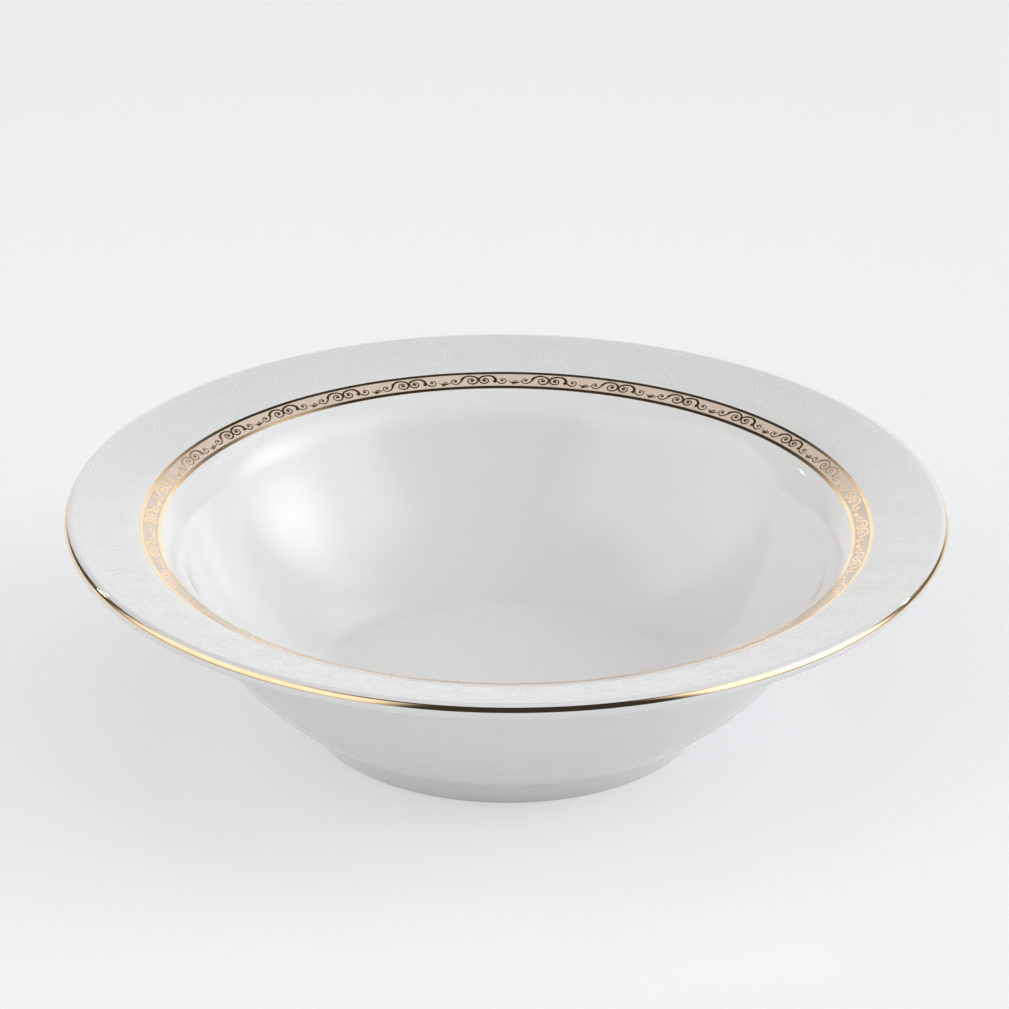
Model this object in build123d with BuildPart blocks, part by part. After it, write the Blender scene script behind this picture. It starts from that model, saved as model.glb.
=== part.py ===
"""Porcelain serving bowl: glazed body, blush ground band, gold lines and gold edge.

The bowl is a body of revolution about +Z. It stands on z = 0, and its origin is the centre of
the circle it stands on. Sizes are millimetres and angles are degrees above the table. The body
is one shell of even thickness on a turned foot ring, and its rounded lip carries the gold edge.
The border on the shoulder is laid over the glaze: a blush ground between two gold lines.
"""

from build123d import *
from math import acos, asin, cos, degrees, radians, sin
import os

# ---- Overall form, measured over the glaze ---------------------------------------------------
RIM_RADIUS = 125.0
RIM_HEIGHT = 65.2
FLANGE_LENGTH = 13.3
WALL = 4.6

# ---- Angles of the inside surface above the table ----------------------------------------------
RIM_ANGLE = 10.5
SHOULDER_ANGLE = 30.0
WALL_TOP_ANGLE = 68.4
WALL_HEEL_ANGLE = 31.8

# ---- Radii that round the inside surface, from the rim down to the floor ---------------------
SHOULDER_ROUND = 36.0
MOUTH_ROUND = 17.1
HEEL_ROUND = 15.5

# ---- Foot ring -------------------------------------------------------------------------------
FOOT_SETOUT = 6.2
FOOT_RECESS = 3.8
FOOT_WIDTH = 4.6
FOOT_OUTER_ANGLE = 52.0
FOOT_INNER_ANGLE = 64.0
TOE_BEVEL = 0.6
ROOT_ROUND = 1.5
RECESS_ROUND = 1.0

# ---- Decoration: widths are seen from above --------------------------------------------------
BORDER_SETBACK = 20.9
BORDER_WIDTH = 6.3
LINE_WIDTH = 1.1
EDGE_WIDTH = 1.3
EDGE_DROP = 1.8
EDGE_FLATS = 5
GILDING = 0.1

PARTS_FOLDER = "parts"
PROFILE = Plane.XZ


def save(solid, name):
    """Label a finished solid and write it as one STEP file."""
    solid.label = name
    export_step(solid, f"{PARTS_FOLDER}/{name}.step")


def rise(radius, low, high):
    """Height that an arc of this radius gains between two angles above the table."""
    return radius * (cos(radians(low)) - cos(radians(high)))


def run(radius, low, high):
    """Distance that an arc of this radius covers outward between two such angles."""
    return radius * (sin(radians(high)) - sin(radians(low)))


# ---- Sizes that follow ------------------------------------------------------------------------
# The inside surface is one chain of tangent arcs from the floor to the lip. The wall's radius
# takes up the height that the other arcs leave, and the flat floor takes up the width.
LIP_ROUND = WALL / 2
FLOOR_HEIGHT = FOOT_RECESS + WALL
FLANGE_TOP = RIM_HEIGHT - LIP_ROUND * (1 - cos(radians(RIM_ANGLE)))
FLANGE_REACH = RIM_RADIUS - LIP_ROUND * (1 + sin(radians(RIM_ANGLE)))
WALL_RISE = FLANGE_TOP - FLOOR_HEIGHT - (
    rise(HEEL_ROUND, 0, WALL_HEEL_ANGLE)
    + rise(MOUTH_ROUND, SHOULDER_ANGLE, WALL_TOP_ANGLE)
    + rise(SHOULDER_ROUND, RIM_ANGLE, SHOULDER_ANGLE)
    + FLANGE_LENGTH * sin(radians(RIM_ANGLE))
)
WALL_RADIUS = WALL_RISE / rise(1, WALL_HEEL_ANGLE, WALL_TOP_ANGLE)
FLOOR_RADIUS = FLANGE_REACH - (
    run(HEEL_ROUND, 0, WALL_HEEL_ANGLE)
    + run(WALL_RADIUS, WALL_HEEL_ANGLE, WALL_TOP_ANGLE)
    + run(MOUTH_ROUND, SHOULDER_ANGLE, WALL_TOP_ANGLE)
    + run(SHOULDER_ROUND, RIM_ANGLE, SHOULDER_ANGLE)
    + FLANGE_LENGTH * cos(radians(RIM_ANGLE))
)
FOOT_RADIUS = FLOOR_RADIUS + FOOT_SETOUT
FOOT_TOP = FLOOR_HEIGHT + WALL

# The border stays at its distance from the rim's edge.
BORDER_OUTER = RIM_RADIUS - BORDER_SETBACK
BORDER_INNER = BORDER_OUTER - BORDER_WIDTH

# The gold edge's two ends are angles above the horizontal, round the centre of the lip.
LIP_CENTRE = (RIM_RADIUS - LIP_ROUND, RIM_HEIGHT - LIP_ROUND)
EDGE_HIGH = degrees(acos(1 - EDGE_WIDTH / LIP_ROUND))
EDGE_LOW = degrees(asin(1 - EDGE_DROP / LIP_ROUND))

# Each flank of the foot ring: the radius where it meets the table, and its angle above the table.
OUTER_FLANK = (FOOT_RADIUS, FOOT_OUTER_ANGLE)
INNER_FLANK = (FOOT_RADIUS - FOOT_WIDTH, 180 - FOOT_INNER_ANGLE)


def surface(height):
    """Draw the meridian this far over the inside surface, in the current line."""
    floor = Line((0, FLOOR_HEIGHT + height), (FLOOR_RADIUS, FLOOR_HEIGHT + height))
    heel = JernArc(floor @ 1, floor % 1, HEEL_ROUND - height, WALL_HEEL_ANGLE)
    wall = JernArc(heel @ 1, heel % 1, WALL_RADIUS - height, WALL_TOP_ANGLE - WALL_HEEL_ANGLE)
    mouth = JernArc(wall @ 1, wall % 1, MOUTH_ROUND + height, SHOULDER_ANGLE - WALL_TOP_ANGLE)
    shoulder = JernArc(mouth @ 1, mouth % 1, SHOULDER_ROUND + height, RIM_ANGLE - SHOULDER_ANGLE)
    return PolarLine(shoulder @ 1, FLANGE_LENGTH, RIM_ANGLE)


def foot_flank(radius, angle, height):
    """Point at this height on a foot flank that meets the table at this radius."""
    return (radius + height * cos(radians(angle)) / sin(radians(angle)), height)


def strip_between(inner, outer, low, high):
    """Keep only what the current sketch has between these radii and these heights."""
    with Locations(((inner + outer) / 2, (low + high) / 2)):
        Rectangle(outer - inner, high - low, mode=Mode.INTERSECT)


def border_section(inner, outer):
    """Section of one ring of the border: it lies on the inside surface between these radii."""
    with BuildSketch(PROFILE) as section:
        with BuildLine():
            under = surface(0)
            over = surface(GILDING)
            Line(under @ 1, over @ 1)
            Line((0, FLOOR_HEIGHT), (0, FLOOR_HEIGHT + GILDING))
        make_face()
        strip_between(inner, outer, 0, RIM_HEIGHT)
    return section.sketch


def edge_corners(radius):
    """Corners of the gold edge's flats, this far from the lip's centre, from the top down."""
    angles = (EDGE_HIGH + (EDGE_LOW - EDGE_HIGH) * i / EDGE_FLATS for i in range(EDGE_FLATS + 1))
    x, z = LIP_CENTRE
    return [(x + radius * cos(radians(angle)), z + radius * sin(radians(angle))) for angle in angles]


def edge_section(reach):
    """Section of the gold edge: flats round the lip, from the gilding's bed out to this radius."""
    with BuildSketch(PROFILE) as section:
        with BuildLine():
            Polyline(*edge_corners(LIP_ROUND - GILDING), *reversed(edge_corners(reach)), close=True)
        make_face()
    return section.sketch


# ---- Bowl: floor, wall, shoulder and rim in one even shell, on a turned foot ring ----------------
with BuildSketch(PROFILE) as bowl_section:
    with BuildLine():
        inside = surface(0)
        outside = surface(-WALL)
        TangentArc(inside @ 1, outside @ 1, tangent=inside % 1)
        Line((0, FLOOR_HEIGHT), (0, FOOT_RECESS))
    make_face()
    with BuildLine():
        Polyline(
            foot_flank(*INNER_FLANK, 0),
            foot_flank(*OUTER_FLANK, 0),
            foot_flank(*OUTER_FLANK, FOOT_TOP),
            foot_flank(*INNER_FLANK, FOOT_TOP),
            close=True,
        )
    make_face()
    with BuildLine():
        inside = surface(0)
        Polyline(inside @ 1, (0, (inside @ 1).Y), (0, FLOOR_HEIGHT))
    make_face(mode=Mode.SUBTRACT)
    chamfer(vertices().group_by(Axis.Y)[0], TOE_BEVEL)
    root_corner = vertices().filter_by(lambda corner: corner.X > FOOT_RADIUS + TOE_BEVEL).sort_by(Axis.Y)[0]
    fillet(root_corner, ROOT_ROUND)
    recess_corner = vertices().sort_by_distance(foot_flank(*INNER_FLANK, FOOT_RECESS))[0]
    fillet(recess_corner, RECESS_ROUND)

with BuildPart() as body:
    with BuildSketch(PROFILE):
        add(bowl_section.sketch)
        add(edge_section(LIP_ROUND + GILDING), mode=Mode.SUBTRACT)
    revolve(axis=Axis.Z)

# ---- Gold edge: set flush into the top and outer side of the rounded lip -------------------------
with BuildPart() as edge_line:
    add(edge_section(LIP_ROUND))
    revolve(axis=Axis.Z)

# ---- Border on the shoulder: blush ground between two gold lines ---------------------------------
with BuildPart() as inner_line:
    add(border_section(BORDER_INNER, BORDER_INNER + LINE_WIDTH))
    revolve(axis=Axis.Z)

with BuildPart() as outer_line:
    add(border_section(BORDER_OUTER - LINE_WIDTH, BORDER_OUTER))
    revolve(axis=Axis.Z)

with BuildPart() as ground_band:
    add(border_section(BORDER_INNER + LINE_WIDTH, BORDER_OUTER - LINE_WIDTH))
    revolve(axis=Axis.Z)

os.makedirs(PARTS_FOLDER, exist_ok=True)
save(body.part, "porcelain_body")
save(edge_line.part, "gold_edge")
save(inner_line.part, "inner_gold_line")
save(outer_line.part, "outer_gold_line")
save(ground_band.part, "blush_ground_band")
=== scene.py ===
"""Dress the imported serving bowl: glazed porcelain, blush border, gold scrolls and white rim relief."""

import logging
import math
import random
from collections.abc import Iterable, Sequence
from dataclasses import dataclass, replace
from enum import Enum

import bpy
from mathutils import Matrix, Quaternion, Vector


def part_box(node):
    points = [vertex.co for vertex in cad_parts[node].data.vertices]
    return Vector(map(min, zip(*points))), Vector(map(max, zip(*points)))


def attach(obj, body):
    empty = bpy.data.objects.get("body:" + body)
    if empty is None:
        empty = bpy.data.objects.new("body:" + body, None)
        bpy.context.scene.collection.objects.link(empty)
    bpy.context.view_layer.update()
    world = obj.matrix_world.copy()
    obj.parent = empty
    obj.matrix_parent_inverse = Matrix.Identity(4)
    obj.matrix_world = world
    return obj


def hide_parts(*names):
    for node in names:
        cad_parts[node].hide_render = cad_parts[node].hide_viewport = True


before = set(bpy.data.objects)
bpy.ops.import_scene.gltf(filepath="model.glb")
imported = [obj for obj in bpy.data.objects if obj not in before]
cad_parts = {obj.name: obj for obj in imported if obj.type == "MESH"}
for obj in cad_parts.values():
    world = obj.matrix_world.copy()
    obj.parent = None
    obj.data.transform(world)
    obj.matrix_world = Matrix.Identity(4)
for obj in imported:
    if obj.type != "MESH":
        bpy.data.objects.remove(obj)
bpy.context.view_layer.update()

MM = 0.001
LOG = logging.getLogger("bowl")

Point2 = tuple[float, float]
Point3 = tuple[float, float, float]
Colour = tuple[float, float, float]
Socket = bpy.types.NodeSocket
Material = bpy.types.Material
Object = bpy.types.Object


class Slot(Enum):
    """The record's material slots."""

    PORCELAIN = "glazed_porcelain"
    BLUSH = "blush_enamel"
    GOLD = "gold"


# ---- Geometry of the bowl's section -----------------------------------------------------------------
# Two radii that are closer than this are taken as one.
LEAST_GAP = 1e-6
ROUND_STEP = math.radians(12.0)


@dataclass(frozen=True)
class Station:
    """One point of the inside surface in section: its radius, height and slope."""

    radius: float
    height: float
    slope: float

    def lifted(self, lift: float) -> Point2:
        """Return the point this far above the surface."""
        return (self.radius - lift * math.sin(self.slope), self.height + lift * math.cos(self.slope))


@dataclass(frozen=True)
class Meridian:
    """The inside surface as one chain of tangent arcs, from the floor's centre to the lip."""

    rim_radius: float
    rim_height: float
    wall: float = 4.6 * MM
    flange: float = 13.3 * MM
    foot_recess: float = 3.8 * MM
    rim_slope: float = math.radians(10.5)
    shoulder_slope: float = math.radians(30.0)
    wall_top_slope: float = math.radians(68.4)
    wall_heel_slope: float = math.radians(31.8)
    shoulder_round: float = 36.0 * MM
    mouth_round: float = 17.1 * MM
    heel_round: float = 15.5 * MM
    arc_step: float = math.radians(1.5)
    lip_step: float = math.radians(6.0)
    floor_shares: tuple[float, ...] = (0.0, 0.25, 0.5, 0.75, 0.9, 1.0)
    flange_shares: tuple[float, ...] = (0.25, 0.5, 0.75, 1.0)

    @property
    def lip_round(self) -> float:
        """Radius of the rounded lip."""
        return self.wall / 2

    @property
    def floor_height(self) -> float:
        """Height of the floor's inside face."""
        return self.foot_recess + self.wall

    @staticmethod
    def rise(radius: float, low: float, high: float) -> float:
        """Return the height that an arc gains between two slopes."""
        return radius * (math.cos(low) - math.cos(high))

    @staticmethod
    def run(radius: float, low: float, high: float) -> float:
        """Return the distance outward that an arc covers between two slopes."""
        return radius * (math.sin(high) - math.sin(low))

    @property
    def wall_round(self) -> float:
        """Radius of the wall's arc, which takes up the height that the other arcs leave.

        Returns:
            The radius.
        """
        top = self.rim_height - self.lip_round * (1 - math.cos(self.rim_slope))
        others = (
            self.rise(self.heel_round, 0.0, self.wall_heel_slope)
            + self.rise(self.mouth_round, self.shoulder_slope, self.wall_top_slope)
            + self.rise(self.shoulder_round, self.rim_slope, self.shoulder_slope)
            + self.flange * math.sin(self.rim_slope)
        )
        left = top - self.floor_height - others
        return left / self.rise(1.0, self.wall_heel_slope, self.wall_top_slope)

    @property
    def floor_radius(self) -> float:
        """Radius of the flat floor, which takes up the width that the arcs leave.

        Returns:
            The radius.
        """
        reach = self.rim_radius - self.lip_round * (1 + math.sin(self.rim_slope))
        return reach - (
            self.run(self.heel_round, 0.0, self.wall_heel_slope)
            + self.run(self.wall_round, self.wall_heel_slope, self.wall_top_slope)
            + self.run(self.mouth_round, self.shoulder_slope, self.wall_top_slope)
            + self.run(self.shoulder_round, self.rim_slope, self.shoulder_slope)
            + self.flange * math.cos(self.rim_slope)
        )

    def arc(self, start: Station, radius: float, slope: float) -> list[Station]:
        """Continue the chain along one arc.

        Args:
            start: The station that the arc leaves.
            radius: The arc's radius.
            slope: The slope that the arc ends at.

        Returns:
            The stations after start, the last one at that slope.
        """
        turn = slope - start.slope
        bend = math.copysign(radius, turn)
        count = max(2, math.ceil(abs(turn) / self.arc_step))
        stations = []
        for i in range(1, count + 1):
            now = start.slope + turn * i / count
            stations.append(
                Station(
                    start.radius + bend * (math.sin(now) - math.sin(start.slope)),
                    start.height - bend * (math.cos(now) - math.cos(start.slope)),
                    now,
                )
            )
        return stations

    def stations(self) -> list[Station]:
        """Follow the whole chain.

        Returns:
            The stations, from the floor's centre to the lip.
        """
        chain = [Station(self.floor_radius * share, self.floor_height, 0.0) for share in self.floor_shares]
        chain += self.arc(chain[-1], self.heel_round, self.wall_heel_slope)
        chain += self.arc(chain[-1], self.wall_round, self.wall_top_slope)
        chain += self.arc(chain[-1], self.mouth_round, self.shoulder_slope)
        chain += self.arc(chain[-1], self.shoulder_round, self.rim_slope)
        end = chain[-1]
        for share in self.flange_shares:
            along = self.flange * share
            chain.append(
                Station(
                    end.radius + along * math.cos(self.rim_slope),
                    end.height + along * math.sin(self.rim_slope),
                    self.rim_slope,
                )
            )
        return chain

    def between(self, inner: float, outer: float) -> list[Station]:
        """Cut a stretch out of the chain.

        Args:
            inner: The radius where the stretch begins.
            outer: The radius where it ends.

        Returns:
            The stretch's stations, with one at each of the two radii.
        """
        inside = [s for s in self.stations() if inner + LEAST_GAP < s.radius < outer - LEAST_GAP]
        return [self.at_radius(inner), *inside, self.at_radius(outer)]

    def at_radius(self, radius: float) -> Station:
        """Find the surface at one radius.

        Args:
            radius: The distance from the bowl's axis.

        Returns:
            The station there.

        Raises:
            ValueError: The surface doesn't reach that far.
        """
        chain = self.stations()
        for low, high in zip(chain, chain[1:]):
            if low.radius <= radius <= high.radius:
                share = (radius - low.radius) / (high.radius - low.radius)
                return Station(
                    radius,
                    low.height + share * (high.height - low.height),
                    low.slope + share * (high.slope - low.slope),
                )
        raise ValueError(f"the surface doesn't reach radius {radius}")

    def length_at(self, radius: float) -> float:
        """Return how far this radius lies from the floor's centre, along the surface."""
        chain = [s for s in self.stations() if s.radius < radius] + [self.at_radius(radius)]
        return sum(math.hypot(b.radius - a.radius, b.height - a.height) for a, b in zip(chain, chain[1:]))

    def lip(self, radius: float, high: float, low: float) -> list[Point2]:
        """Go round the lip's centre.

        Args:
            radius: The distance from that centre.
            high: The angle above the horizontal to start at.
            low: The angle above the horizontal to end at.

        Returns:
            The points, in that order.
        """
        x, z = self.stations()[-1].lifted(-self.lip_round)
        count = max(2, math.ceil(abs(high - low) / self.lip_step))
        angles = (high + (low - high) * i / count for i in range(count + 1))
        return [(x + radius * math.cos(a), z + radius * math.sin(a)) for a in angles]


def rounded(corner: Point2, before: Point2, after: Point2, radius: float) -> list[Point2]:
    """Round one corner of a section.

    Args:
        corner: The corner itself.
        before: A point on the side that comes before it.
        after: A point on the side that comes after it.
        radius: The radius of the round.

    Returns:
        The points of the round, from the first side to the second.
    """
    c = Vector(corner)
    u, v = (Vector(before) - c).normalized(), (Vector(after) - c).normalized()
    half = u.angle(v) / 2
    centre = c + (u + v).normalized() * (radius / math.sin(half))
    first, last = c + u * (radius / math.tan(half)) - centre, c + v * (radius / math.tan(half)) - centre
    start = math.atan2(first.y, first.x)
    turn = math.remainder(math.atan2(last.y, last.x) - start, math.tau)
    steps = max(2, math.ceil(abs(turn) / ROUND_STEP))
    angles = (start + turn * i / steps for i in range(steps + 1))
    return [(centre.x + radius * math.cos(a), centre.y + radius * math.sin(a)) for a in angles]


# ---- Node helpers -------------------------------------------------------------------------------------
def declare(tree: bpy.types.NodeTree, inputs: dict[str, str], outputs: dict[str, str]) -> None:
    """Give a node group its named inputs and outputs.

    Args:
        tree: The group's tree.
        inputs: The kind of each input, by name.
        outputs: The kind of each output, by name.
    """
    for in_out, sockets in (("INPUT", inputs), ("OUTPUT", outputs)):
        for name, kind in sockets.items():
            tree.interface.new_socket(name, in_out=in_out, socket_type="NodeSocket" + kind)


class Nodes:
    """A node tree with short calls to add nodes and to link them."""

    def __init__(self, tree: bpy.types.NodeTree) -> None:
        """Keep the tree that the calls work on."""
        self.tree = tree

    def add(self, kind: str, **settings: object) -> bpy.types.Node:
        """Add a node.

        Args:
            kind: The node's type name.
            settings: Properties to set, by name.

        Returns:
            The new node.
        """
        node = self.tree.nodes.new(kind)
        for name, value in settings.items():
            setattr(node, name, value)
        return node

    def link(self, source: Socket, target: Socket) -> None:
        """Link one socket to another."""
        self.tree.links.new(source, target)

    def feed(self, socket: Socket, value: object) -> None:
        """Link a socket to another socket, or set it to a plain value.

        Args:
            socket: The input to feed.
            value: The other socket, or the plain value.
        """
        if isinstance(value, Socket):
            self.link(value, socket)
        else:
            socket.default_value = value

    def flow(self, kind: str, inputs: dict[str, object], **settings: object) -> Socket:
        """Add a node and feed its inputs.

        Args:
            kind: The node's type name.
            inputs: A socket or a plain value for each input, by name.
            settings: Properties to set, by name.

        Returns:
            The node's first output.
        """
        node = self.add(kind, **settings)
        for name, value in inputs.items():
            self.feed(node.inputs[name], value)
        return node.outputs[0]

    def math(self, operation: str, *values: object) -> Socket:
        """Add a Math node.

        Args:
            operation: What it does.
            values: A socket or a number for each input, in order.

        Returns:
            Its result.
        """
        node = self.add("ShaderNodeMath", operation=operation)
        for socket, value in zip(node.inputs, values):
            self.feed(socket, value)
        return node.outputs[0]

    def ramp(self, value: Socket, start: object, end: object, first: float = 0, last: float = 1) -> Socket:
        """Go smoothly from one number to another.

        Args:
            value: What the number follows.
            start: The value where the change starts.
            end: The value where it ends.
            first: The number before the start.
            last: The number past the end.

        Returns:
            The number.
        """
        inputs = {"Value": value, "From Min": start, "From Max": end, "To Min": first, "To Max": last}
        return self.flow("ShaderNodeMapRange", inputs, interpolation_type="SMOOTHSTEP")

    def blend(self, share: Socket, first: object, second: object, way: str = "MIX") -> Socket:
        """Mix two colours.

        Args:
            share: How much of the second colour there is.
            first: A socket or a plain colour.
            second: The same.
            way: How the second colour is laid over the first.

        Returns:
            The mixed colour.
        """
        node = self.add("ShaderNodeMix", data_type="RGBA", blend_type=way)
        self.link(share, node.inputs["Factor"])
        for name, colour in (("A", first), ("B", second)):
            is_socket = isinstance(colour, Socket)
            self.feed(node.inputs[name], colour if is_socket else (*colour, 1.0))
        return node.outputs["Result"]

    def split(self, vector: Socket) -> tuple[Socket, ...]:
        """Take a vector apart.

        Args:
            vector: The vector.

        Returns:
            Its X, Y and Z.
        """
        node = self.add("ShaderNodeSeparateXYZ")
        self.link(vector, node.inputs[0])
        return tuple(node.outputs)

    def join(self, x: object, y: object, z: object) -> Socket:
        """Return the vector of three parts, each a socket or a number."""
        return self.flow("ShaderNodeCombineXYZ", {"X": x, "Y": y, "Z": z})

    def position(self) -> Socket:
        """Return the place of each point of the geometry."""
        return self.add("GeometryNodeInputPosition").outputs[0]

    def round_axis(self, radius: Socket, angle: Socket, height: Socket) -> Socket:
        """Place a point about the bowl's axis.

        Args:
            radius: Its distance from the axis.
            angle: Its angle round the axis.
            height: Its height.

        Returns:
            The point.
        """
        x = self.math("MULTIPLY", radius, self.math("COSINE", angle))
        y = self.math("MULTIPLY", radius, self.math("SINE", angle))
        return self.join(x, y, height)

    def dress(self, geometry: Socket, material: Socket) -> None:
        """End a geometry tree: make its instances real and give it its finish.

        Args:
            geometry: What the tree has made.
            material: The finish.
        """
        whole = self.flow("GeometryNodeRealizeInstances", {"Geometry": geometry})
        dressed = self.flow("GeometryNodeSetMaterial", {"Geometry": whole, "Material": material})
        self.link(dressed, self.add("NodeGroupOutput").inputs[0])


# ---- Lathe: a section turned about the bowl's axis ------------------------------------------------------
class Lathe:
    """Geometry Nodes tree that turns an ordered row of section points about the Z axis."""

    NAME = "Turned on the axis"
    SHARP_ANGLE = math.radians(30.0)
    WELD = 0.2e-6

    def __init__(self) -> None:
        """Build the tree: a grid, as wide as the turn and as long as the section, is bent round the axis."""
        self.tree = bpy.data.node_groups.new(self.NAME, "GeometryNodeTree")
        self.tree.is_modifier = True
        inputs = {
            "Section": "Geometry",
            "Segments": "Int",
            "Sharp Angle": "Float",
            "Weld": "Float",
            "Material": "Material",
        }
        declare(self.tree, inputs, {"Turned": "Geometry"})
        n = Nodes(self.tree)
        given = n.add("NodeGroupInput").outputs
        rows = n.flow("GeometryNodeAttributeDomainSize", {"Geometry": given["Section"]}, component="MESH")
        columns = n.math("ADD", given["Segments"], 1.0)
        size = {"Size X": 1.0, "Size Y": 1.0, "Vertices X": columns, "Vertices Y": rows}
        grid = n.flow("GeometryNodeMeshGrid", size)
        across, along, _ = n.split(n.position())
        angle = n.math("MULTIPLY", n.math("ADD", across, 0.5), math.tau)
        last = n.math("SUBTRACT", rows, 1.0)
        index = n.math("ROUND", n.math("MULTIPLY", n.math("ADD", along, 0.5), last))
        source = {"Geometry": given["Section"], "Value": n.position(), "Index": index}
        point = n.flow("GeometryNodeSampleIndex", source, data_type="FLOAT_VECTOR", domain="POINT")
        radius, _, height = n.split(point)
        place = n.round_axis(radius, angle, height)
        moved = n.flow("GeometryNodeSetPosition", {"Geometry": grid, "Position": place})
        welded = n.flow("GeometryNodeMergeByDistance", {"Geometry": moved, "Distance": given["Weld"]})
        flipped = n.flow("GeometryNodeFlipFaces", {"Mesh": welded})
        smooth = n.flow("GeometryNodeSetShadeSmooth", {"Geometry": flipped})
        bend = n.add("GeometryNodeInputMeshEdgeAngle").outputs["Unsigned Angle"]
        limit = {"A": bend, "B": given["Sharp Angle"]}
        sharp = n.flow("FunctionNodeCompare", limit, data_type="FLOAT", operation="GREATER_THAN")
        mark = {"Geometry": smooth, "Name": "sharp_edge", "Value": sharp}
        marked = n.flow("GeometryNodeStoreNamedAttribute", mark, data_type="BOOLEAN", domain="EDGE")
        n.dress(marked, given["Material"])

    def turn(self, name: str, section: Sequence[Point2], segments: int, material: Material) -> Object:
        """Turn a section into a finished piece.

        Args:
            name: The piece's name.
            section: Radius and height of each point, in order, the first repeated at the end of a ring's.
            segments: How many flats go round.
            material: The piece's finish.

        Returns:
            The piece, as a plain mesh object.
        """
        mesh = bpy.data.meshes.new(name + ".section")
        mesh.from_pydata([(r, 0.0, z) for r, z in section], [], [])
        values = {
            "Segments": segments,
            "Sharp Angle": self.SHARP_ANGLE,
            "Weld": self.WELD,
            "Material": material,
        }
        return grown(name, mesh, self.tree, values)


def grown(name: str, mesh: bpy.types.Mesh, tree: bpy.types.NodeTree, values: dict[str, object]) -> Object:
    """Run a Geometry Nodes tree on a mesh and keep its result as a plain mesh.

    Args:
        name: Name of the finished object.
        mesh: What the tree starts from.
        tree: The tree.
        values: The tree's inputs, by name.

    Returns:
        The finished object, without its modifier.
    """
    seed = bpy.data.objects.new(name + ".seed", mesh)
    bpy.context.scene.collection.objects.link(seed)
    modifier = seed.modifiers.new("Grow", "NODES")
    modifier.node_group = tree
    sockets = {s.name: s.identifier for s in tree.interface.items_tree if s.in_out == "INPUT"}
    for label, value in values.items():
        modifier[sockets[label]] = value
    bpy.context.view_layer.update()
    depsgraph = bpy.context.evaluated_depsgraph_get()
    finished = bpy.data.meshes.new_from_object(seed.evaluated_get(depsgraph), depsgraph=depsgraph)
    seed.modifiers.clear()
    bpy.data.objects.remove(seed)
    piece = bpy.data.objects.new(name, finished)
    bpy.context.scene.collection.objects.link(piece)
    return piece


# ---- Finishes ------------------------------------------------------------------------------------------
class FiringGroup:
    """Shader group for what the kiln leaves on every fired finish: clouds, specks and faint ripples."""

    NAME = "Firing"
    NUMBERS = ("Cloud Size", "Speck Size", "Speck Amount", "Ripple Size", "Roughness", "Roughness Spread")
    COLOURS = ("Colour", "Cloud Colour", "Speck Colour")
    CLOUD_DETAIL = 3.0
    SPECK_DETAIL = 0.0
    RIPPLE_DETAIL = 1.0
    CLOUDED = (0.34, 0.66)
    SPECKLED = (0.76, 0.84)
    MIDDLE = 0.5

    def __init__(self) -> None:
        """Build the group."""
        self.tree = bpy.data.node_groups.new(self.NAME, "ShaderNodeTree")
        kinds = {**dict.fromkeys(self.COLOURS, "Color"), **dict.fromkeys(self.NUMBERS, "Float")}
        outputs = {"Colour": "Color", "Roughness": "Float", "Height": "Float"}
        declare(self.tree, {"Vector": "Vector", **kinds}, outputs)
        n = Nodes(self.tree)
        given, result = n.add("NodeGroupInput").outputs, n.add("NodeGroupOutput").inputs
        cloud = self.noise(n, given["Vector"], given["Cloud Size"], self.CLOUD_DETAIL)
        speck = self.noise(n, given["Vector"], given["Speck Size"], self.SPECK_DETAIL)
        ripple = self.noise(n, given["Vector"], given["Ripple Size"], self.RIPPLE_DETAIL)
        clouded = n.blend(n.ramp(cloud, *self.CLOUDED), given["Colour"], given["Cloud Colour"])
        speckled = n.math("MULTIPLY", n.ramp(speck, *self.SPECKLED), given["Speck Amount"])
        n.link(n.blend(speckled, clouded, given["Speck Colour"]), result["Colour"])
        spread = n.math("MULTIPLY", n.math("SUBTRACT", cloud, self.MIDDLE), given["Roughness Spread"])
        n.link(n.math("ADD", given["Roughness"], spread), result["Roughness"])
        n.link(ripple, result["Height"])

    @staticmethod
    def noise(n: Nodes, vector: Socket, size: Socket, detail: float) -> Socket:
        """Make a noise of one grain size.

        Args:
            n: The tree's calls.
            vector: Where the noise is read.
            size: The grain's size.
            detail: How many finer layers it has.

        Returns:
            The noise, from 0 to 1.
        """
        inputs = {"Vector": vector, "Scale": n.math("DIVIDE", 1.0, size), "Detail": detail}
        return n.flow("ShaderNodeTexNoise", inputs)


@dataclass(frozen=True)
class Firing:
    """How one fired finish looks: its colours, its gloss and the grain of each, in metres."""

    colour: Colour
    cloud_colour: Colour
    speck_colour: Colour
    cloud_size: float
    speck_size: float
    speck_amount: float
    ripple_size: float
    ripple_depth: float
    roughness: float
    roughness_spread: float

    def place(self, n: Nodes, group: FiringGroup, shader: bpy.types.Node, where: Socket) -> bpy.types.Node:
        """Place the group in a material and feed the shader's normal from it.

        Args:
            n: The material's calls.
            group: The shared group.
            shader: The material's shader.
            where: Object coordinates.

        Returns:
            The group's node, whose colour and roughness are still free.
        """
        node = n.add("ShaderNodeGroup", node_tree=group.tree)
        n.link(where, node.inputs["Vector"])
        for name, colour in zip(group.COLOURS, (self.colour, self.cloud_colour, self.speck_colour)):
            node.inputs[name].default_value = (*colour, 1.0)
        numbers = (
            self.cloud_size,
            self.speck_size,
            self.speck_amount,
            self.ripple_size,
            self.roughness,
            self.roughness_spread,
        )
        for name, number in zip(group.NUMBERS, numbers):
            node.inputs[name].default_value = number
        height = {"Strength": 1.0, "Distance": self.ripple_depth, "Height": node.outputs["Height"]}
        n.link(n.flow("ShaderNodeBump", height), shader.inputs["Normal"])
        return node


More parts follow.
